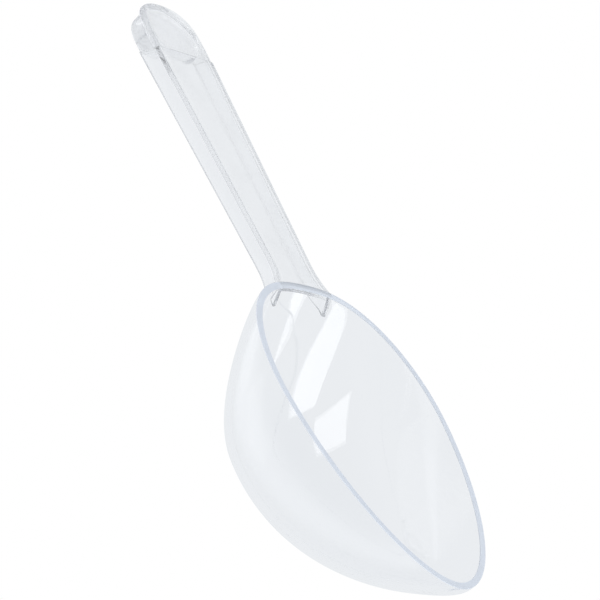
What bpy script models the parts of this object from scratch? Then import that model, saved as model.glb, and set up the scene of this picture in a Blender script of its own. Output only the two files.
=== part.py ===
"""Clear moulded scoop: a deep leaf-shaped bowl, a channel handle and the handle's solid round end.

Metres, +Z up. X runs along the scoop, from the handle's end (-X) to the bowl's front lip (+X).
The rim lies in one horizontal plane, from which the handle's top rises slightly towards its end.
The scoop is symmetric about Y = 0.
The origin is at the centre of the bounding box in X and Y, level with the bowl's lowest point.
"""

import math

import bmesh
import bpy

# Driving dimensions
OVERALL_LENGTH = 0.1655
BOWL_LENGTH = 0.0812
BOWL_HALF_WIDTH = 0.0285
BOWL_DEPTH = 0.0313
WALL = 0.0016
JOINT_GAP = 0.0003

# Stations of the bowl, measured forward from the back of its rim
WIDEST_STATION = 0.0310
DEEPEST_STATION = 0.0305

# Each lengthwise curve falls from its peak as (1 - t**p)**q, with t from 0 at the peak to 1 at the
# end. (2, 0.5) is an ellipse, a smaller q is blunter at the end and a larger one is leaner.
OUTLINE_BACK = (2.0, 0.39)
OUTLINE_FRONT = (1.75, 0.54)
KEEL_BACK = (2.0, 1.05)
KEEL_FRONT = (2.0, 0.72)

# Power of the bowl's cross-section: 2 is an ellipse, less is nearer to a V and more to a box
SECTION_POWER_BACK = 1.6
SECTION_POWER_FRONT = 3.4

# Handle
HANDLE_HEIGHT_ROOT = 0.0047
HANDLE_HEIGHT_END = 0.0045
HANDLE_HALF_WIDTH_ROOT = 0.00705
HANDLE_HALF_WIDTH_END = 0.0097
HANDLE_EDGE_ROUND = 0.0008
TOP_RISE = 0.0012
TOP_THICKNESS = 0.0016
SIDE_THICKNESS = 0.0015
ROOT_FLARE = 0.0027
ROOT_FLARE_START = 0.0080
ROOT_FLARE_END = 0.0015
ROOT_FLARE_POWER = 2.5
ROOT_REACH = 0.0048

# Round end: a lipped top plate on a lower wall that is set in under it. The end is solid but for two
# pockets, one on each side, between the side walls and a boss with a blunt front.
END_LENGTH = 0.0156
END_FACE_SLANT = 0.50
PLATE_ROUND_LENGTH = 0.0102
PLATE_ROUND_POWER = 2.4
PLATE_EDGE_ROUND = 0.0006
LOWER_WALL_INSET = 0.0002
LOWER_WALL_SETBACK = 0.0005
LOWER_ROUND_POWER = 2.0
BOSS_CENTRE = 0.0085
BOSS_LENGTH = 0.0072
BOSS_HALF_WIDTH = 0.0077
BOSS_POWER = 3.0
POCKET_START = 0.0016

# Derived places along X and Z
X_FRONT = OVERALL_LENGTH / 2
X_BOWL_BACK = X_FRONT - BOWL_LENGTH
X_END = -OVERALL_LENGTH / 2
X_END_JOINT = X_END + END_LENGTH
Z_RIM = BOWL_DEPTH

# How far a cutter passes the faces that it cuts, and the size of a block that cuts the whole handle
OVERRUN = 0.004
BLOCK_SIZE = 0.030

# Fineness of the meshes
BOWL_SEGMENTS = 72
BOWL_RINGS = 13
HANDLE_STATIONS = 16
END_ARC_STEPS = 14
BOSS_STEPS = 16
BISECTION_STEPS = 50
TINY = 1e-6
ANGLE_DIGITS = 6
EDGE_SEGMENTS = 3
FLAT_ANGLE = math.radians(0.2)
SHARP_ANGLE = math.radians(40)
BEVEL_ANGLE = math.radians(50)

# Clear polystyrene, with the bowl a little better polished than the handle
PLASTIC_COLOUR = (0.90, 0.93, 0.95, 1.0)
PLASTIC_IOR = 1.58
PLASTIC_TRANSMISSION = 0.9
BOWL_ROUGHNESS = 0.04
HANDLE_ROUGHNESS = 0.05


def clear_scene():
    for obj in list(bpy.data.objects):
        bpy.data.objects.remove(obj, do_unlink=True)


def new_collection(name):
    collection = bpy.data.collections.new(name)
    bpy.context.scene.collection.children.link(collection)
    return collection


def clear_plastic(name, roughness):
    material = bpy.data.materials.new(name)
    material.use_nodes = True
    shader = material.node_tree.nodes["Principled BSDF"]
    shader.inputs["Base Color"].default_value = PLASTIC_COLOUR
    shader.inputs["Roughness"].default_value = roughness
    shader.inputs["Metallic"].default_value = 0.0
    shader.inputs["IOR"].default_value = PLASTIC_IOR
    shader.inputs["Transmission Weight"].default_value = PLASTIC_TRANSMISSION
    return material


def add_object(name, mesh, collection, material=None):
    obj = bpy.data.objects.new(name, mesh)
    collection.objects.link(obj)
    if material:
        mesh.materials.append(material)
    return obj


def as_cutter(obj):
    obj.hide_render = True
    obj.display_type = "WIRE"
    return obj


def boolean(obj, other, operation):
    modifier = obj.modifiers.new(f"{operation.lower()} {other.name}", "BOOLEAN")
    modifier.operation = operation
    modifier.solver = "EXACT"
    modifier.object = other


# Bowl


def bowl_curve(station, inset, peak_station, back, front):
    """One lengthwise curve of the bowl, as a share of its peak, for a wall set in by inset."""
    if station < peak_station:
        t = (peak_station - station) / (peak_station - inset)
        power, end_power = back
    else:
        t = (station - peak_station) / (BOWL_LENGTH - inset - peak_station)
        power, end_power = front
    return max(0.0, 1.0 - t**power) ** end_power


def bowl_half_width(station, inset):
    share = bowl_curve(station, inset, WIDEST_STATION, OUTLINE_BACK, OUTLINE_FRONT)
    return (BOWL_HALF_WIDTH - inset) * share


def bowl_keel_depth(station, inset):
    share = bowl_curve(station, inset, DEEPEST_STATION, KEEL_BACK, KEEL_FRONT)
    return (BOWL_DEPTH - inset) * share


def rim_distance(angle, inset):
    """Distance from the widest station to the rim outline, in the direction of angle."""
    low = 0.0
    high = BOWL_LENGTH
    for _ in range(BISECTION_STEPS):
        middle = (low + high) / 2
        station = WIDEST_STATION + middle * math.cos(angle)
        side = abs(middle * math.sin(angle))
        inside = inset < station < BOWL_LENGTH - inset and side < bowl_half_width(station, inset)
        low, high = (middle, high) if inside else (low, middle)
    return low


def bowl_depth_at(station, side, inset):
    half_width = bowl_half_width(station, inset)
    if half_width <= 0.0:
        return 0.0
    share = min(1.0, abs(side) / half_width)
    power = SECTION_POWER_BACK + (SECTION_POWER_FRONT - SECTION_POWER_BACK) * station / BOWL_LENGTH
    return bowl_keel_depth(station, inset) * (1.0 - share**power) ** (1.0 / power)


def bowl_body(name, inset, collar):
    """Half a sphere drawn out to the bowl's surface, with a flat top at the collar's height above the rim."""
    bm = bmesh.new()
    bmesh.ops.create_uvsphere(bm, u_segments=BOWL_SEGMENTS, v_segments=2 * BOWL_RINGS, radius=1.0)
    upper = [v for v in bm.verts if v.co.z > TINY]
    bmesh.ops.delete(bm, geom=upper, context="VERTS")
    reach = {}
    for vert in bm.verts:
        angle = round(math.atan2(vert.co.y, vert.co.x), ANGLE_DIGITS)
        radial = min(1.0, math.hypot(vert.co.x, vert.co.y))
        if angle not in reach:
            reach[angle] = rim_distance(angle, inset)
        station = WIDEST_STATION + reach[angle] * radial * math.cos(angle)
        side = reach[angle] * radial * math.sin(angle)
        on_rim = radial > 1.0 - TINY
        depth = 0.0 if on_rim else bowl_depth_at(station, side, inset)
        vert.co = (X_BOWL_BACK + station, side, Z_RIM - depth)
    rim = [edge for edge in bm.edges if edge.is_boundary]
    if collar > 0.0:
        raised = bmesh.ops.extrude_edge_only(bm, edges=rim)["geom"]
        raised_verts = [item for item in raised if isinstance(item, bmesh.types.BMVert)]
        bmesh.ops.translate(bm, verts=raised_verts, vec=(0, 0, collar))
        rim = [edge for edge in bm.edges if edge.is_boundary]
    bmesh.ops.contextual_create(bm, geom=rim)
    bmesh.ops.recalc_face_normals(bm, faces=bm.faces[:])
    mesh = bpy.data.meshes.new(name)
    bm.to_mesh(mesh)
    bm.free()
    return mesh


def make_bowl(parts, cutters):
    bowl = add_object("bowl", bowl_body("bowl", 0.0, 0.0), parts, clear_plastic("bowl", BOWL_ROUGHNESS))
    inside = add_object("bowl_inside", bowl_body("bowl_inside", WALL, OVERRUN), cutters)
    boolean(bowl, as_cutter(inside), "DIFFERENCE")
    bowl.data.shade_smooth()
    bowl.data.set_sharp_from_angle(angle=SHARP_ANGLE)


# Handle


def handle_half_width(x):
    along = (X_BOWL_BACK - x) / (X_BOWL_BACK - X_END_JOINT)
    half_width = HANDLE_HALF_WIDTH_ROOT + (HANDLE_HALF_WIDTH_END - HANDLE_HALF_WIDTH_ROOT) * along
    past_start = min(x - X_BOWL_BACK, ROOT_FLARE_END) + ROOT_FLARE_START
    flare = max(0.0, past_start) / (ROOT_FLARE_END + ROOT_FLARE_START)
    return half_width + ROOT_FLARE * flare**ROOT_FLARE_POWER


def handle_height(x):
    along = min(1.0, max(0.0, (X_BOWL_BACK - x) / (X_BOWL_BACK - X_END_JOINT)))
    return HANDLE_HEIGHT_ROOT + (HANDLE_HEIGHT_END - HANDLE_HEIGHT_ROOT) * along


def handle_top(x):
    return Z_RIM + TOP_RISE * (X_BOWL_BACK - x) / (X_BOWL_BACK - X_END)


def handle_underside(x):
    return Z_RIM - handle_height(x)


def ceiling(x):
    return handle_top(x) - TOP_THICKNESS


def inside_plate(x):
    return handle_top(x) - TOP_THICKNESS / 4


def below_all(x):
    return Z_RIM - HANDLE_HEIGHT_ROOT - OVERRUN


def slab(name, outline, top, bottom):
    """A closed plate of the outline, whose faces lie at the heights that top and bottom give for each x."""
    curve = bpy.data.curves.new(name, "CURVE")
    curve.dimensions = "2D"
    curve.fill_mode = "BOTH"
    curve.extrude = HANDLE_HEIGHT_END / 2
    spline = curve.splines.new("POLY")
    spline.points.add(len(outline) - 1)
    for point, (x, y) in zip(spline.points, outline):
        point.co = (x, y, 0.0, 1.0)
    spline.use_cyclic_u = True
    guide = bpy.data.objects.new(name, curve)
    bpy.context.scene.collection.objects.link(guide)
    bpy.context.view_layer.update()
    evaluated = guide.evaluated_get(bpy.context.evaluated_depsgraph_get())
    mesh = bpy.data.meshes.new_from_object(evaluated)
    bpy.data.objects.remove(guide, do_unlink=True)
    bm = bmesh.new()
    bm.from_mesh(mesh)
    bmesh.ops.remove_doubles(bm, verts=bm.verts, dist=TINY)
    bmesh.ops.dissolve_limit(bm, angle_limit=FLAT_ANGLE, verts=bm.verts, edges=bm.edges)
    for vert in bm.verts:
        vert.co.z = top(vert.co.x) if vert.co.z > 0.0 else bottom(vert.co.x)
    bmesh.ops.recalc_face_normals(bm, faces=bm.faces)
    bm.to_mesh(mesh)
    bm.free()
    mesh.name = name
    mesh.materials.clear()
    return mesh


def mirrored(side_points):
    """A closed outline from the points of its +Y side, listed from -X to +X."""
    return side_points + [(x, -y) for x, y in reversed(side_points)]


def channel_outline(x_low, x_high, inset):
    points = []
    for index in range(HANDLE_STATIONS + 1):
        x = x_low + (x_high - x_low) * index / HANDLE_STATIONS
        points.append((x, handle_half_width(x) - inset))
    return mirrored(points)


def round_edges(obj, width):
    bevel = obj.modifiers.new("rounded edges", "BEVEL")
    bevel.width = width
    bevel.segments = EDGE_SEGMENTS
    bevel.limit_method = "ANGLE"
    bevel.angle_limit = BEVEL_ANGLE


def slanted_block(name, x_face, side, cutters):
    """A block on one side of the joint face, whose foot is nearer to the handle's end than its top is."""
    bm = bmesh.new()
    bmesh.ops.create_cube(bm, size=BLOCK_SIZE)
    for vert in bm.verts:
        vert.co.x = x_face + side * (vert.co.x + BLOCK_SIZE / 2) + END_FACE_SLANT * vert.co.z
        vert.co.z += Z_RIM
    bmesh.ops.recalc_face_normals(bm, faces=bm.faces[:])
    mesh = bpy.data.meshes.new(name)
    bm.to_mesh(mesh)
    bm.free()
    return as_cutter(add_object(name, mesh, cutters))


def make_handle(parts, cutters):
    x_root = X_BOWL_BACK + ROOT_REACH
    outline = channel_outline(X_END_JOINT - OVERRUN, x_root, 0.0)
    outer = slab("handle", outline, handle_top, handle_underside)
    handle = add_object("handle", outer, parts, clear_plastic("handle", HANDLE_ROUGHNESS))
    round_edges(handle, HANDLE_EDGE_ROUND)

    hollow_outline = channel_outline(X_END_JOINT - 2 * OVERRUN, x_root + OVERRUN, SIDE_THICKNESS)
    hollow_mesh = slab("channel_hollow", hollow_outline, ceiling, below_all)
    hollow = as_cutter(add_object("channel_hollow", hollow_mesh, cutters))
    boolean(handle, hollow, "DIFFERENCE")

    bowl_space_mesh = bowl_body("bowl_space", -JOINT_GAP, OVERRUN)
    bowl_space = as_cutter(add_object("bowl_space", bowl_space_mesh, cutters))
    boolean(handle, bowl_space, "DIFFERENCE")
    boolean(handle, slanted_block("end_space", X_END_JOINT, -1.0, cutters), "DIFFERENCE")
    handle.data.shade_smooth()
    handle.data.set_sharp_from_angle(angle=SHARP_ANGLE)


# Round end


def end_outline(x_tip, round_length, power, inset):
    """The handle's last stretch, set in by inset and closed by a superelliptic end that starts at x_tip."""
    half_width = HANDLE_HALF_WIDTH_END - inset
    points = []
    for index in range(1, END_ARC_STEPS + 1):
        angle = math.pi / 2 * index / END_ARC_STEPS
        x = x_tip + round_length * (1.0 - math.cos(angle) ** (2 / power))
        points.append((x, half_width * math.sin(angle) ** (2 / power)))
    for x in (X_END_JOINT, X_END_JOINT + OVERRUN):
        points.append((x, handle_half_width(x) - inset))
    return mirrored(points) + [(x_tip, 0.0)]


def pocket_outline():
    """The space round the boss's blunt front, out to the side walls and past the joint."""
    x_start = X_END + BOSS_CENTRE + POCKET_START
    x_past = X_END_JOINT + OVERRUN
    start_angle = math.asin((POCKET_START / BOSS_LENGTH) ** (BOSS_POWER / 2))
    boss = []
    for index in range(BOSS_STEPS + 1):
        angle = start_angle + (math.pi / 2 - start_angle) * index / BOSS_STEPS
        x = X_END + BOSS_CENTRE + BOSS_LENGTH * math.sin(angle) ** (2 / BOSS_POWER)
        boss.append((x, BOSS_HALF_WIDTH * math.cos(angle) ** (2 / BOSS_POWER)))
    side = [(x, handle_half_width(x) - SIDE_THICKNESS) for x in (x_past, x_start)]
    front = side + boss[:-1]
    return front + [boss[-1]] + [(x, -y) for x, y in reversed(front)]


def make_end(parts, cutters):
    plate_outline = end_outline(X_END, PLATE_ROUND_LENGTH, PLATE_ROUND_POWER, 0.0)
    plate = slab("handle_end", plate_outline, handle_top, ceiling)
    end = add_object("handle_end", plate, parts, clear_plastic("handle_end", HANDLE_ROUGHNESS))
    round_edges(end, PLATE_EDGE_ROUND)

    wall_outline = end_outline(
        X_END + LOWER_WALL_SETBACK, HANDLE_HALF_WIDTH_END, LOWER_ROUND_POWER, LOWER_WALL_INSET
    )
    wall_mesh = slab("lower_wall", wall_outline, inside_plate, handle_underside)
    wall = as_cutter(add_object("lower_wall", wall_mesh, cutters))
    round_edges(wall, PLATE_EDGE_ROUND)
    boolean(end, wall, "UNION")

    pocket_mesh = slab("pockets", pocket_outline(), ceiling, below_all)
    pockets = as_cutter(add_object("pockets", pocket_mesh, cutters))
    boolean(end, pockets, "DIFFERENCE")
    handle_space = slanted_block("handle_space", X_END_JOINT - JOINT_GAP, 1.0, cutters)
    boolean(end, handle_space, "DIFFERENCE")
    end.data.shade_smooth()
    end.data.set_sharp_from_angle(angle=SHARP_ANGLE)


def main():
    clear_scene()
    parts = new_collection("ice_scoop")
    cutters = new_collection("cutters")
    make_bowl(parts, cutters)
    make_handle(parts, cutters)
    make_end(parts, cutters)


main()
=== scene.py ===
"""The clear moulded scoop: fine clear-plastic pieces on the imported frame, with floor, light and camera."""

import math

import bmesh
import bpy
from mathutils import Matrix, Vector


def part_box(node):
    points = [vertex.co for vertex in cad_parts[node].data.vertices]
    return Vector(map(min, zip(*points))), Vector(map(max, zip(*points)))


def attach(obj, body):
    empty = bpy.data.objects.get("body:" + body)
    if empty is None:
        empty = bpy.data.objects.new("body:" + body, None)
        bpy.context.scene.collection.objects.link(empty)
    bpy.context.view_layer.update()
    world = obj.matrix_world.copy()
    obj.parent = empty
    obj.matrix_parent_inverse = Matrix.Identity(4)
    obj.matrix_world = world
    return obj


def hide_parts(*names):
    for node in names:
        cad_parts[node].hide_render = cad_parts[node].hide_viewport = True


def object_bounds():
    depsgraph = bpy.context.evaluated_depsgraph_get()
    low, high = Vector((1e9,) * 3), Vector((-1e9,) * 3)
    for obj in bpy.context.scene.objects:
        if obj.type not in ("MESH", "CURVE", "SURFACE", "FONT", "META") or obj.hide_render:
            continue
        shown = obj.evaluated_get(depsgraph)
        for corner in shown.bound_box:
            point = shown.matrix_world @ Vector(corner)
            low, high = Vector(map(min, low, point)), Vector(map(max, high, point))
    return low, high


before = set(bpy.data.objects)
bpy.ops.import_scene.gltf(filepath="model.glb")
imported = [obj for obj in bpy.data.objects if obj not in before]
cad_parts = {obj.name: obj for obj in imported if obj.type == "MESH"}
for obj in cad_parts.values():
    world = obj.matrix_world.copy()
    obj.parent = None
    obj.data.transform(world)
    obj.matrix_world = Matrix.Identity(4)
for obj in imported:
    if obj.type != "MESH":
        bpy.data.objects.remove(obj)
cad_low, cad_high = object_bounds()

# Places and sizes from the frame, in metres
BOWL_LOW, BOWL_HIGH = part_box("bowl")
END_LOW, END_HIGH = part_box("handle_end")
Z_RIM = BOWL_HIGH.z
X_BACK = BOWL_LOW.x
BOWL_LENGTH = BOWL_HIGH.x - BOWL_LOW.x
BOWL_HALF_WIDTH = BOWL_HIGH.y
BOWL_DEPTH = BOWL_HIGH.z - BOWL_LOW.z
X_TIP = END_LOW.x
MM = 0.001

# The bowl's form, as in the frame. Each lengthwise curve falls from its peak as (1 - t**p)**q.
WALL = 1.6 * MM
WIDEST_STATION = 31.0 * MM
DEEPEST_STATION = 30.5 * MM
OUTLINE_BACK = (2.0, 0.39)
OUTLINE_FRONT = (1.75, 0.54)
KEEL_BACK = (2.0, 1.05)
KEEL_FRONT = (2.0, 0.72)
SECTION_POWER_BACK = 1.6
SECTION_POWER_FRONT = 3.4

# The handle's form, as in the frame
HANDLE_HEIGHT_ROOT = 4.7 * MM
HANDLE_HEIGHT_END = 4.5 * MM
HANDLE_HALF_WIDTH_ROOT = 7.05 * MM
HANDLE_HALF_WIDTH_END = 9.7 * MM
TOP_RISE = 1.2 * MM
TOP_THICKNESS = 1.6 * MM
SIDE_THICKNESS = 1.5 * MM
ROOT_FLARE = 2.7 * MM
ROOT_FLARE_START = 8.0 * MM
ROOT_FLARE_END = 1.5 * MM
ROOT_FLARE_POWER = 2.5
X_END_JOINT = X_TIP + 15.6 * MM
END_FACE_SLANT = 0.50
PLATE_ROUND_LENGTH = 10.2 * MM
PLATE_ROUND_POWER = 2.4
LOWER_WALL_INSET = 0.2 * MM
LOWER_WALL_SETBACK = 0.5 * MM
LOWER_ROUND_POWER = 2.0
BOSS_CENTRE = 8.5 * MM
BOSS_LENGTH = 7.2 * MM
BOSS_HALF_WIDTH = 7.7 * MM
BOSS_POWER = 3.0
POCKET_START = 1.6 * MM

# The fine surface: rounded edges, and joints that touch like one moulding
LIP_ROUND = 0.45 * MM
CORNER_ROUND = 0.35 * MM
SKIRT_ROUND = 0.30 * MM
CEILING_FILLET = 0.25 * MM
PLATE_TOP_ROUND = 1.1 * MM
PLATE_LIP_ROUND = 0.4 * MM
LOWER_EDGE_ROUND = 0.7 * MM
CROWN = 0.15 * MM
JOINT_LAP = 0.02 * MM
OVERRUN = 4.0 * MM

BOWL_SEGMENTS = 256
BOWL_RINGS = 56
HANDLE_STATIONS = 72
LIP_SEGMENTS = 4
CORNER_STEPS = 8
SKIRT_STEPS = 4
PLATE_TOP_STEPS = 8
PLATE_LIP_STEPS = 5
LOWER_EDGE_STEPS = 6
JOINT_BLOCK = 8 * OVERRUN
BISECTION_STEPS = 50
SLANT_PASSES = 3
HANDLE_SHARP_ANGLE = math.radians(40)
END_SHARP_ANGLE = math.radians(38)
TINY = 1e-9

# More than 1 draws the handle's stations together towards its root
ROOT_CROWDING = 1.6


# Bowl


def bowl_curve(station, inset, peak_station, back, front):
    """One lengthwise curve of the bowl, as a share of its peak, for a wall set in by inset."""
    if station < peak_station:
        t = (peak_station - station) / (peak_station - inset)
        power, end_power = back
    else:
        t = (station - peak_station) / (BOWL_LENGTH - inset - peak_station)
        power, end_power = front
    return max(0.0, 1.0 - t**power) ** end_power


def bowl_half_width(station, inset):
    share = bowl_curve(station, inset, WIDEST_STATION, OUTLINE_BACK, OUTLINE_FRONT)
    return (BOWL_HALF_WIDTH - inset) * share


def bowl_keel_depth(station, inset):
    share = bowl_curve(station, inset, DEEPEST_STATION, KEEL_BACK, KEEL_FRONT)
    return (BOWL_DEPTH - inset) * share


def bowl_depth_at(station, side, inset):
    half_width = bowl_half_width(station, inset)
    if half_width <= 0.0:
        return 0.0
    share = min(1.0, abs(side) / half_width)
    power = SECTION_POWER_BACK + (SECTION_POWER_FRONT - SECTION_POWER_BACK) * station / BOWL_LENGTH
    return bowl_keel_depth(station, inset) * (1.0 - share**power) ** (1.0 / power)


def bisect(is_before, low, high):
    """The place between low and high where is_before turns from true to false."""
    for _ in range(BISECTION_STEPS):
        middle = (low + high) / 2
        low, high = (middle, high) if is_before(middle) else (low, middle)
    return low


def rim_distance(angle, inset):
    """Distance from the widest station to the rim outline, in the direction of angle."""

    def is_inside(distance):
        station = WIDEST_STATION + distance * math.cos(angle)
        side = abs(distance * math.sin(angle))
        return inset < station < BOWL_LENGTH - inset and side < bowl_half_width(station, inset)

    return bisect(is_inside, 0.0, BOWL_LENGTH)


def bowl_ring(inset, radial, angles, reach):
    """One ring of the bowl's surface, at a share of the way from the middle to the rim."""
    ring = []
    for angle, distance in zip(angles, reach):
        station = WIDEST_STATION + distance * radial * math.cos(angle)
        side = distance * radial * math.sin(angle)
        depth = 0.0 if radial > 1.0 - TINY else bowl_depth_at(station, side, inset)
        ring.append(Vector((X_BACK + station, side, Z_RIM - depth)))
    return ring


def ring_faces(bm, rings):
    """Quads between each ring and the next, with every ring closed on itself."""
    for lower, upper in zip(rings, rings[1:]):
        count = len(lower)
        for index in range(count):
            after = (index + 1) % count
            bm.faces.new((lower[index], lower[after], upper[after], upper[index]))


def fan_faces(bm, pole, ring):
    for index in range(len(ring)):
        bm.faces.new((pole, ring[index], ring[(index + 1) % len(ring)]))


def finish_mesh(bm, name):
    bmesh.ops.recalc_face_normals(bm, faces=bm.faces[:])
    mesh = bpy.data.meshes.new(name)
    bm.to_mesh(mesh)
    bm.free()
    mesh.shade_smooth()
    obj = bpy.data.objects.new(name, mesh)
    bpy.context.scene.collection.objects.link(obj)
    return obj


def lip_weight(vert):
    """Full rounding along the free rim, none where the handle's top runs into it."""
    past_handle = abs(vert.co.y) - handle_half_width(X_BACK)
    if vert.co.x > X_BACK + WIDEST_STATION:
        return 1.0
    return min(1.0, max(0.0, past_handle / ROOT_FLARE_START))


def build_bowl():
    angles = [2 * math.pi * index / BOWL_SEGMENTS for index in range(BOWL_SEGMENTS)]
    bm = bmesh.new()
    surfaces = []
    for inset in (0.0, WALL):
        reach = [rim_distance(angle, inset) for angle in angles]
        surface = []
        for index in range(1, BOWL_RINGS + 1):
            radial = math.sin(math.pi / 2 * index / BOWL_RINGS)
            surface.append(bowl_ring(inset, radial, angles, reach))
        surfaces.append(surface)
    outer, inner = surfaces
    verts = [[bm.verts.new(point) for point in ring] for ring in outer]
    verts += [[bm.verts.new(point) for point in ring] for ring in reversed(inner)]
    ring_faces(bm, verts)
    for ring, inset in ((verts[0], 0.0), (verts[-1], WALL)):
        depth = bowl_depth_at(WIDEST_STATION, 0.0, inset)
        fan_faces(bm, bm.verts.new((X_BACK + WIDEST_STATION, 0.0, Z_RIM - depth)), ring)
    weights = bm.edges.layers.float.new("bevel_weight_edge")
    outer_rim = set(verts[BOWL_RINGS - 1])
    inner_rim = set(verts[BOWL_RINGS])
    for edge in bm.edges:
        if all(vert in outer_rim for vert in edge.verts):
            edge[weights] = min(lip_weight(vert) for vert in edge.verts)
        elif all(vert in inner_rim for vert in edge.verts):
            edge[weights] = 1.0
    obj = finish_mesh(bm, "bowl_shell")
    bevel = obj.modifiers.new("rim rounding", "BEVEL")
    bevel.width = LIP_ROUND
    bevel.segments = LIP_SEGMENTS
    bevel.limit_method = "WEIGHT"
    bevel.harden_normals = True
    return obj


# Handle


def handle_half_width(x):
    along = (X_BACK - x) / (X_BACK - X_END_JOINT)
    half_width = HANDLE_HALF_WIDTH_ROOT + (HANDLE_HALF_WIDTH_END - HANDLE_HALF_WIDTH_ROOT) * along
    past_start = min(x - X_BACK, ROOT_FLARE_END) + ROOT_FLARE_START
    flare = max(0.0, past_start) / (ROOT_FLARE_END + ROOT_FLARE_START)
    return half_width + ROOT_FLARE * flare**ROOT_FLARE_POWER


def handle_top(x):
    return Z_RIM + TOP_RISE * (X_BACK - x) / (X_BACK - X_TIP)


def handle_underside(x):
    along = min(1.0, max(0.0, (X_BACK - x) / (X_BACK - X_END_JOINT)))
    return Z_RIM - HANDLE_HEIGHT_ROOT - (HANDLE_HEIGHT_END - HANDLE_HEIGHT_ROOT) * along


def arc(centre, radius, start, end, steps):
    """Points on an arc in the section's plane, from the start to the end angle in degrees."""
    points = []
    for index in range(steps + 1):
        angle = math.radians(start + (end - start) * index / steps)
        points.append((centre[0] + radius * math.cos(angle), centre[1] + radius * math.sin(angle)))
    return points


def channel_half(x):
    """The +Y half of the channel's section: out from the top's middle, down, then back inside."""
    side = handle_half_width(x)
    top = handle_top(x)
    bottom = handle_underside(x)
    inner = side - SIDE_THICKNESS
    roof = top - TOP_THICKNESS
    flat_steps = 6
    corner_y = side - CORNER_ROUND
    points = [(corner_y * index / flat_steps, top) for index in range(flat_steps)]
    points += arc((corner_y, top - CORNER_ROUND), CORNER_ROUND, 90, 0, CORNER_STEPS)
    points += arc((side - SKIRT_ROUND, bottom + SKIRT_ROUND), SKIRT_ROUND, 0, -90, SKIRT_STEPS)
    points += arc((inner + SKIRT_ROUND, bottom + SKIRT_ROUND), SKIRT_ROUND, -90, -180, SKIRT_STEPS)
    fillet_y = inner - CEILING_FILLET
    points += arc((fillet_y, roof - CEILING_FILLET), CEILING_FILLET, 0, 90, CORNER_STEPS)
    points += [(fillet_y * index / flat_steps, roof) for index in reversed(range(flat_steps))]
    return points


def channel_section(x):
    half = channel_half(x)
    return half + [(-y, z) for y, z in reversed(half[1:-1])]


def root_place(index):
    """Where one of the channel's lengthwise lines meets the bowl's outer surface."""

    def is_outside(x):
        side, z = channel_section(x)[index]
        station = x - X_BACK
        if station <= JOINT_LAP:
            return True
        return Z_RIM - z >= bowl_depth_at(station, side, JOINT_LAP)

    return bisect(is_outside, X_BACK, X_BACK + WIDEST_STATION)


def cap_faces(bm, ring):
    """A strip of quads across the channel's cut end, between its outer and inner lines."""
    count = len(ring)
    last = count // 2
    for index in range(last // 2):
        after = index + 1
        quad = (index, after, last - after, last - index)
        bm.faces.new([ring[item] for item in quad])
        bm.faces.new([ring[(count - item) % count] for item in reversed(quad)])


def build_handle():
    count = len(channel_section(X_END_JOINT))
    roots = [root_place(index) for index in range(count)]
    bm = bmesh.new()
    rings = []
    for step in range(HANDLE_STATIONS + 1):
        share = 1.0 - (1.0 - step / HANDLE_STATIONS) ** ROOT_CROWDING
        ring = []
        for index, root in enumerate(roots):
            start = X_END_JOINT
            for _ in range(SLANT_PASSES):
                start = X_END_JOINT + END_FACE_SLANT * (channel_section(start)[index][1] - Z_RIM)
            x = start + (root - start) * share
            side, z = channel_section(x)[index]
            ring.append(bm.verts.new((x, side, z)))
        rings.append(ring)
    ring_faces(bm, rings)
    cap_faces(bm, rings[0])
    cap_faces(bm, rings[-1])
    obj = finish_mesh(bm, "handle_channel")
    obj.data.set_sharp_from_angle(angle=HANDLE_SHARP_ANGLE)
    return obj


# Round end


def end_outline(x_tip, round_length, power, inset):
    """A closed outline: straight past the joint, with a superelliptic end that starts at x_tip."""
    half_width = HANDLE_HALF_WIDTH_END - inset
    steps = 32
    points = []
    for index in range(1, steps + 1):
        angle = math.pi / 2 * index / steps
        x = x_tip + round_length * (1.0 - math.cos(angle) ** (2 / power))
        points.append((x, half_width * math.sin(angle) ** (2 / power)))
    straight_steps = 6
    x_round = points[-1][0]
    x_past = X_END_JOINT + OVERRUN
    for index in range(1, straight_steps + 1):
        x = x_round + (x_past - x_round) * index / straight_steps
        points.append((x, handle_half_width(x) - inset))
    points.append((x_past, 0.0))
    return [(x_tip, 0.0)] + points + [(x, -y) for x, y in reversed(points[:-1])]


def shrunk(outline, centre_x, inset):
    """The outline drawn in towards its centre, by inset at its sides."""
    share = 1.0 - inset / HANDLE_HALF_WIDTH_END
    return [(centre_x + (x - centre_x) * share, y * share) for x, y in outline]


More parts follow.
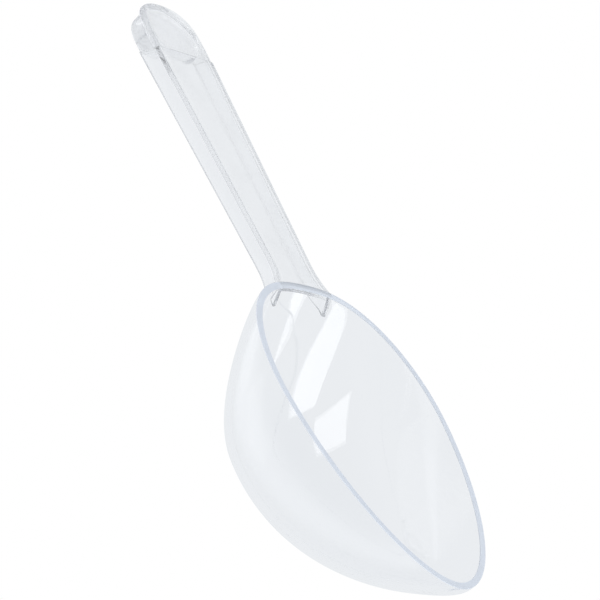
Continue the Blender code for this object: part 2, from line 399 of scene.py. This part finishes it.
def end_body():
    """The end before its pockets and joint face are cut: a lipped plate on its lower wall."""
    plate = end_outline(X_TIP, PLATE_ROUND_LENGTH, PLATE_ROUND_POWER, 0.0)
    wall = end_outline(
        X_TIP + LOWER_WALL_SETBACK, HANDLE_HALF_WIDTH_END, LOWER_ROUND_POWER, LOWER_WALL_INSET
    )
    centre_x = X_TIP + HANDLE_HALF_WIDTH_END
    bm = bmesh.new()
    rings = []

    def add_ring(outline, inset, height):
        points = shrunk(outline, centre_x, inset)
        rings.append([bm.verts.new((x, y, height(x, y))) for x, y in points])

    def crowned(x, y):
        distance = math.hypot(x - centre_x, y) / HANDLE_HALF_WIDTH_END
        return handle_top(x) + CROWN * max(0.0, 1.0 - distance**2) ** 2

    face_steps = 8
    for index in range(1, face_steps):
        flat_width = HANDLE_HALF_WIDTH_END - PLATE_TOP_ROUND
        inset = PLATE_TOP_ROUND + flat_width * (1.0 - index / face_steps)
        add_ring(plate, inset, crowned)
    top_centre = (PLATE_TOP_ROUND, PLATE_TOP_ROUND)
    for across, down in arc(top_centre, PLATE_TOP_ROUND, 270, 180, PLATE_TOP_STEPS):
        add_ring(plate, across, lambda x, y, down=down: handle_top(x) - down)
    lip_centre = (PLATE_LIP_ROUND, TOP_THICKNESS - PLATE_LIP_ROUND)
    for across, down in arc(lip_centre, PLATE_LIP_ROUND, 180, 90, PLATE_LIP_STEPS):
        add_ring(plate, across, lambda x, y, down=down: handle_top(x) - down)
    foot = LOWER_EDGE_ROUND
    add_ring(wall, 0.0, lambda x, y: handle_top(x) - TOP_THICKNESS - PLATE_LIP_ROUND)
    for across, up in arc((foot, foot), foot, 180, 270, LOWER_EDGE_STEPS):
        add_ring(wall, across, lambda x, y, up=up: handle_underside(x) + up)
    for index in range(1, face_steps):
        inset = foot + (HANDLE_HALF_WIDTH_END - foot) * index / face_steps
        add_ring(wall, inset, lambda x, y: handle_underside(x))
    ring_faces(bm, rings)
    top_pole = bm.verts.new((centre_x, 0.0, crowned(centre_x, 0.0)))
    fan_faces(bm, top_pole, rings[0])
    fan_faces(bm, bm.verts.new((centre_x, 0.0, handle_underside(centre_x))), rings[-1])
    return finish_mesh(bm, "handle_end_block")


def pocket_outline():
    """The space round the boss's blunt front, out to the side walls and past the joint."""
    x_boss = X_TIP + BOSS_CENTRE
    x_past = X_END_JOINT + 2 * OVERRUN
    start_angle = math.asin((POCKET_START / BOSS_LENGTH) ** (BOSS_POWER / 2))
    steps = 40
    boss = []
    for index in range(steps + 1):
        angle = start_angle + (math.pi / 2 - start_angle) * index / steps
        x = x_boss + BOSS_LENGTH * math.sin(angle) ** (2 / BOSS_POWER)
        boss.append((x, BOSS_HALF_WIDTH * math.cos(angle) ** (2 / BOSS_POWER)))
    side = [(x, handle_half_width(x) - SIDE_THICKNESS) for x in (x_past, x_boss + POCKET_START)]
    front = side + boss[:-1]
    return front + [boss[-1]] + [(x, -y) for x, y in reversed(front)]


def cutter(name, bm):
    obj = finish_mesh(bm, name)
    obj.data.shade_flat()
    return obj


def build_pocket_cutter():
    bm = bmesh.new()
    roof = []
    floor = []
    for x, y in pocket_outline():
        roof.append(bm.verts.new((x, y, handle_top(x) - TOP_THICKNESS)))
        floor.append(bm.verts.new((x, y, handle_underside(x) - OVERRUN)))
    ring_faces(bm, [floor, roof])
    bm.faces.new(roof)
    bm.faces.new(list(reversed(floor)))
    return cutter("pocket_cutter", bm)


def build_joint_cutter():
    bm = bmesh.new()
    bmesh.ops.create_cube(bm, size=JOINT_BLOCK)
    for vert in bm.verts:
        x_face = X_END_JOINT + JOINT_LAP + END_FACE_SLANT * vert.co.z
        vert.co.x += x_face + JOINT_BLOCK / 2
        vert.co.z += Z_RIM
    return cutter("joint_cutter", bm)


def build_end():
    obj = end_body()
    cutters = (build_pocket_cutter(), build_joint_cutter())
    for tool in cutters:
        cut = obj.modifiers.new(tool.name, "BOOLEAN")
        cut.operation = "DIFFERENCE"
        cut.solver = "EXACT"
        cut.object = tool
    bpy.context.view_layer.update()
    evaluated = obj.evaluated_get(bpy.context.evaluated_depsgraph_get())
    mesh = bpy.data.meshes.new_from_object(evaluated)
    mesh.name = "handle_end_block"
    obj.modifiers.clear()
    obj.data = mesh
    for tool in cutters:
        bpy.data.objects.remove(tool, do_unlink=True)
    mesh.set_sharp_from_angle(angle=END_SHARP_ANGLE)
    return obj


# Materials

PLASTIC_IOR = 1.58
FLOW_STRETCH = (18.0, 60.0, 60.0)
FLOW_SWIRL = 0.6
FLOW_DARK = (0.980, 0.984, 0.988, 1.0)
FLOW_LIGHT = (0.994, 0.996, 0.998, 1.0)
SCRATCH_STRETCH = (120.0, 4500.0, 900.0)
SCRATCH_PATCH_SCALE = 90.0
SCRATCH_TURNS = (25.0, -50.0)
SCRATCH_ROUGHNESS = 0.10
SCRATCH_DEPTH = 0.04
HAZE_SCALE = 140.0
SWELL_SCALE = 55.0
ABSORPTION_COLOUR = (0.50, 0.56, 0.74, 1.0)
ABSORPTION_DENSITY = 3.0
# The rim's blue-grey colour and its loss of clearness are painted shade for the dark band of a thin clear
# edge; its extra roughness is a less polished finish
LIP_BREAKUP_SCALE = 400.0
LIP_BREAKUP_LOW = 0.94
LIP_PAINTED_SHADE_COLOUR = (0.80, 0.85, 0.93, 1.0)
LIP_FROST_AND_SHADE = 0.85
LIP_ROUGHNESS = 0.30
LIP_FADE_LOW = 0.30 * MM
LIP_FADE_HIGH = 0.12 * MM


def map_range(tree, value, low, high, to_low, to_high):
    node = tree.nodes.new("ShaderNodeMapRange")
    node.interpolation_type = "SMOOTHSTEP"
    tree.links.new(value, node.inputs["Value"])
    node.inputs["From Min"].default_value = low
    node.inputs["From Max"].default_value = high
    node.inputs["To Min"].default_value = to_low
    node.inputs["To Max"].default_value = to_high
    return node.outputs["Result"]


def noise(tree, vector, scale, detail, distortion=0.0):
    node = tree.nodes.new("ShaderNodeTexNoise")
    tree.links.new(vector, node.inputs["Vector"])
    node.inputs["Scale"].default_value = scale
    node.inputs["Detail"].default_value = detail
    node.inputs["Distortion"].default_value = distortion
    return node.outputs["Fac"]


def stretched(tree, vector, scale, turn):
    node = tree.nodes.new("ShaderNodeMapping")
    tree.links.new(vector, node.inputs["Vector"])
    node.inputs["Scale"].default_value = scale
    node.inputs["Rotation"].default_value = (0.0, 0.0, math.radians(turn))
    return node.outputs["Vector"]


def combine(tree, operation, first, second):
    node = tree.nodes.new("ShaderNodeMath")
    node.operation = operation
    for socket, value in zip(node.inputs, (first, second)):
        if isinstance(value, float):
            socket.default_value = value
        else:
            tree.links.new(value, socket)
    return node.outputs["Value"]


def hairlines(tree, vector, turn):
    """Fine short scratches in one direction: the peaks of a noise drawn out along its length."""
    lines = noise(tree, stretched(tree, vector, SCRATCH_STRETCH, turn), 1.0, 1.0)
    patches = noise(tree, vector, SCRATCH_PATCH_SCALE, 2.0)
    return combine(
        tree,
        "MULTIPLY",
        map_range(tree, lines, 0.70, 0.78, 0.0, 1.0),
        map_range(tree, patches, 0.45, 0.65, 0.0, 1.0),
    )


def mix_colour(tree, factor, first, second):
    node = tree.nodes.new("ShaderNodeMix")
    node.data_type = "RGBA"
    tree.links.new(factor, node.inputs["Factor"])
    tree.links.new(first, node.inputs["A"])
    node.inputs["B"].default_value = second
    return node.outputs["Result"]


def frost_and_paint_lip_shade(tree, place, shader, tint, roughness):
    """Make the rim a partly matt line: rougher, less clear, and tinted blue-grey as painted shade for the
    dark band a thin clear edge shows. Give back the tint and roughness with it in.
    """
    split = tree.nodes.new("ShaderNodeSeparateXYZ")
    tree.links.new(place, split.inputs[0])
    lip = map_range(tree, split.outputs["Z"], Z_RIM - LIP_FADE_LOW, Z_RIM - LIP_FADE_HIGH, 0.0, 1.0)
    lip_breakup = map_range(tree, noise(tree, place, LIP_BREAKUP_SCALE, 2.0), 0.3, 0.7, LIP_BREAKUP_LOW, 1.0)
    frost_and_shade_mask = combine(tree, "MULTIPLY", lip, lip_breakup)
    # Painted shade: the rim loses clearness, with random breakup, so that its blue-grey tint shows
    clear = combine(tree, "SUBTRACT", 1.0, combine(tree, "MULTIPLY", frost_and_shade_mask, LIP_FROST_AND_SHADE))
    tree.links.new(clear, shader.inputs["Transmission Weight"])
    rough = combine(tree, "MAXIMUM", roughness, combine(tree, "MULTIPLY", lip, LIP_ROUGHNESS))
    # The blue-grey lip colour is painted shade
    return mix_colour(tree, lip, tint, LIP_PAINTED_SHADE_COLOUR), rough


def clear_plastic(name, haze_low, haze_high, swell_height, flow_turn, frosted_lip_with_shade=False):
    """Clear polystyrene with moulding flow, faint scuffs and, on the bowl, a less polished rim with a
    painted blue-grey shade.
    """
    material = bpy.data.materials.new(name)
    material.use_nodes = True
    tree = material.node_tree
    shader = tree.nodes["Principled BSDF"]
    shader.inputs["IOR"].default_value = PLASTIC_IOR
    shader.inputs["Transmission Weight"].default_value = 1.0
    place = tree.nodes.new("ShaderNodeTexCoord").outputs["Object"]

    flow = noise(tree, stretched(tree, place, FLOW_STRETCH, flow_turn), 1.0, 2.0, FLOW_SWIRL)
    tint = tree.nodes.new("ShaderNodeValToRGB")
    tree.links.new(flow, tint.inputs["Fac"])
    tint.color_ramp.elements[0].position = 0.30
    tint.color_ramp.elements[0].color = FLOW_DARK
    tint.color_ramp.elements[1].position = 0.70
    tint.color_ramp.elements[1].color = FLOW_LIGHT
    colour = tint.outputs["Color"]

    first_lines, second_lines = (hairlines(tree, place, turn) for turn in SCRATCH_TURNS)
    scratches = combine(tree, "MAXIMUM", first_lines, second_lines)
    haze = map_range(tree, noise(tree, place, HAZE_SCALE, 3.0), 0.35, 0.75, haze_low, haze_high)
    scuffs = combine(tree, "MULTIPLY", scratches, SCRATCH_ROUGHNESS)
    roughness = combine(tree, "ADD", haze, scuffs)
    if frosted_lip_with_shade:
        colour, roughness = frost_and_paint_lip_shade(tree, place, shader, colour, roughness)
    tree.links.new(colour, shader.inputs["Base Color"])
    tree.links.new(roughness, shader.inputs["Roughness"])

    swell = noise(tree, place, SWELL_SCALE, 1.5)
    relief = combine(tree, "SUBTRACT", swell, combine(tree, "MULTIPLY", scratches, SCRATCH_DEPTH))
    bump = tree.nodes.new("ShaderNodeBump")
    tree.links.new(relief, bump.inputs["Height"])
    bump.inputs["Strength"].default_value = 1.0
    bump.inputs["Distance"].default_value = swell_height
    tree.links.new(bump.outputs["Normal"], shader.inputs["Normal"])

    absorb = tree.nodes.new("ShaderNodeVolumeAbsorption")
    absorb.inputs["Color"].default_value = ABSORPTION_COLOUR
    absorb.inputs["Density"].default_value = ABSORPTION_DENSITY
    tree.links.new(absorb.outputs["Volume"], tree.nodes["Material Output"].inputs["Volume"])
    return material


def dress(obj, material, node):
    obj.data.materials.clear()
    obj.data.materials.append(material)
    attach(obj, "root")
    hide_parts(node)


# Stage

STAGE_WHITE = (1.0, 1.0, 1.0, 1.0)
FLOOR_BEHIND = (0.84, 0.86, 0.885, 1.0)
FLOOR_POOL = (1.15, 1.17, 1.20, 1.0)
SURROUND_LOW = (0.84, 0.86, 0.88, 1.0)
SURROUND_HIGH = (0.66, 0.68, 0.71, 1.0)
SURROUND_LOW_POSITION = 0.45
SURROUND_HIGH_POSITION = 0.90
FLOOR_HALF_SIZE = 6.0
FLOOR_DROP = 0.1 * MM
POOL_NEAR_START = -60 * MM
POOL_NEAR_FULL = -40 * MM
POOL_FAR_FULL = -33 * MM
POOL_FAR_END = -22 * MM
BOUNCES = 128
TRANSPARENT_BOUNCES = 16


def white_or_mirrored(tree, mirrored):
    """White where it is seen directly, and the given colour where it is seen through or in the plastic."""
    path = tree.nodes.new("ShaderNodeLightPath")
    return mix_colour(tree, path.outputs["Is Camera Ray"], mirrored, STAGE_WHITE)


def build_floor():
    """A pale floor with a soft pool of light along the scoop's camera side."""
    bm = bmesh.new()
    bmesh.ops.create_grid(bm, x_segments=1, y_segments=1, size=FLOOR_HALF_SIZE)
    mesh = bpy.data.meshes.new("floor")
    bm.to_mesh(mesh)
    bm.free()
    floor = bpy.data.objects.new("floor", mesh)
    bpy.context.scene.collection.objects.link(floor)
    floor.location.z = cad_low.z - FLOOR_DROP
    material = bpy.data.materials.new("floor")
    material.use_nodes = True
    tree = material.node_tree
    tree.nodes.remove(tree.nodes["Principled BSDF"])
    place = tree.nodes.new("ShaderNodeTexCoord")
    split = tree.nodes.new("ShaderNodeSeparateXYZ")
    tree.links.new(place.outputs["Object"], split.inputs[0])
    fade = tree.nodes.new("ShaderNodeMix")
    fade.data_type = "RGBA"
    fade_out = map_range(tree, split.outputs["Y"], POOL_FAR_FULL, POOL_FAR_END, 1.0, 0.0)
    fade_in = map_range(tree, split.outputs["Y"], POOL_NEAR_START, POOL_NEAR_FULL, 0.0, 1.0)
    tree.links.new(combine(tree, "MULTIPLY", fade_out, fade_in), fade.inputs["Factor"])
    fade.inputs["A"].default_value = FLOOR_BEHIND
    fade.inputs["B"].default_value = FLOOR_POOL
    emission = tree.nodes.new("ShaderNodeEmission")
    tree.links.new(white_or_mirrored(tree, fade.outputs["Result"]), emission.inputs["Color"])
    tree.links.new(emission.outputs["Emission"], tree.nodes["Material Output"].inputs["Surface"])
    mesh.materials.append(material)


def build_world():
    world = bpy.data.worlds.new("studio")
    bpy.context.scene.world = world
    world.use_nodes = True
    tree = world.node_tree
    coordinates = tree.nodes.new("ShaderNodeTexCoord")
    split = tree.nodes.new("ShaderNodeSeparateXYZ")
    ramp = tree.nodes.new("ShaderNodeValToRGB")
    tree.links.new(coordinates.outputs["Generated"], split.inputs[0])
    tree.links.new(split.outputs["Z"], ramp.inputs["Fac"])
    ramp.color_ramp.elements[0].position = SURROUND_LOW_POSITION
    ramp.color_ramp.elements[0].color = SURROUND_LOW
    ramp.color_ramp.elements[1].position = SURROUND_HIGH_POSITION
    ramp.color_ramp.elements[1].color = SURROUND_HIGH
    colour = white_or_mirrored(tree, ramp.outputs["Color"])
    tree.links.new(colour, tree.nodes["Background"].inputs["Color"])


def direction(azimuth, elevation):
    """The way to a point that is seen at these angles; azimuth 0 is the -Y side."""
    turn = math.radians(azimuth)
    tilt = math.radians(elevation)
    return Vector((math.sin(turn) * math.cos(tilt), -math.cos(turn) * math.cos(tilt), math.sin(tilt)))


def add_softbox(name, azimuth, elevation, width, height, radiance, turn=0.0):
    """A rectangular light a metre off that faces the bowl; width and height are angles in degrees."""
    light = bpy.data.lights.new(name, "AREA")
    light.shape = "RECTANGLE"
    light.size = 2 * math.tan(math.radians(width / 2))
    light.size_y = 2 * math.tan(math.radians(height / 2))
    light.energy = radiance * math.pi * light.size * light.size_y
    lamp = bpy.data.objects.new(name, light)
    bpy.context.scene.collection.objects.link(lamp)
    way = direction(azimuth, elevation)
    centre = Vector((X_BACK + WIDEST_STATION, 0.0, Z_RIM))
    facing = way.to_track_quat("Z", "Y").to_matrix().to_4x4()
    spin = Matrix.Rotation(math.radians(turn), 4, "Z")
    lamp.matrix_world = Matrix.Translation(centre + way) @ facing @ spin


def build_lights():
    add_softbox("window_side", azimuth=110.0, elevation=27.0, width=22.0, height=32.0, radiance=1.35)
    add_softbox("window_back", azimuth=145.0, elevation=10.0, width=8.0, height=5.0, radiance=1.1)
    add_softbox(
        "window_top", azimuth=54.0, elevation=55.0, width=33.0, height=33.0, radiance=1.25, turn=45.0
    )


# Camera

CAMERA_AZIMUTH = 31.8
CAMERA_ELEVATION = 25.6
CAMERA_ROLL = math.radians(47.34)
CAMERA_DISTANCE = 0.6184
CAMERA_LENS = 167.8
AIM_LEFT = 0.80 * MM
AIM_DOWN = 3.35 * MM
CLIP_START = 0.01
CLIP_END = 30.0


def build_camera():
    back = direction(CAMERA_AZIMUTH, CAMERA_ELEVATION)
    level_right = Vector((0.0, 0.0, 1.0)).cross(back).normalized()
    level_up = back.cross(level_right)
    right = level_right * math.cos(CAMERA_ROLL) + level_up * math.sin(CAMERA_ROLL)
    up = level_up * math.cos(CAMERA_ROLL) - level_right * math.sin(CAMERA_ROLL)
    aim = Vector((X_BACK, 0.0, Z_RIM)) - AIM_LEFT * right - AIM_DOWN * up
    camera = bpy.data.objects.new("camera", bpy.data.cameras.new("camera"))
    bpy.context.scene.collection.objects.link(camera)
    axes = Matrix((right, up, back)).transposed().to_4x4()
    camera.matrix_world = Matrix.Translation(aim + CAMERA_DISTANCE * back) @ axes
    camera.data.lens = CAMERA_LENS
    camera.data.clip_start = CLIP_START
    camera.data.clip_end = CLIP_END
    bpy.context.scene.camera = camera


# The bowl's rim carries a painted blue-grey shade along with its rougher finish
bowl_plastic = clear_plastic(
    "bowl_plastic", haze_low=0.0, haze_high=0.02, swell_height=0.10 * MM, flow_turn=0.0, frosted_lip_with_shade=True
)
handle_plastic = clear_plastic(
    "handle_plastic", haze_low=0.09, haze_high=0.16, swell_height=0.03 * MM, flow_turn=5.0
)
handle_end_plastic = clear_plastic(
    "handle_end_plastic", haze_low=0.14, haze_high=0.22, swell_height=0.03 * MM, flow_turn=40.0
)
dress(build_bowl(), bowl_plastic, "bowl")
dress(build_handle(), handle_plastic, "handle")
dress(build_end(), handle_end_plastic, "handle_end")

build_floor()
build_world()
build_lights()
build_camera()
scene = bpy.context.scene
scene.view_settings.view_transform = "Standard"
scene.cycles.max_bounces = BOUNCES
scene.cycles.transmission_bounces = BOUNCES
scene.cycles.glossy_bounces = BOUNCES
scene.cycles.transparent_max_bounces = TRANSPARENT_BOUNCES
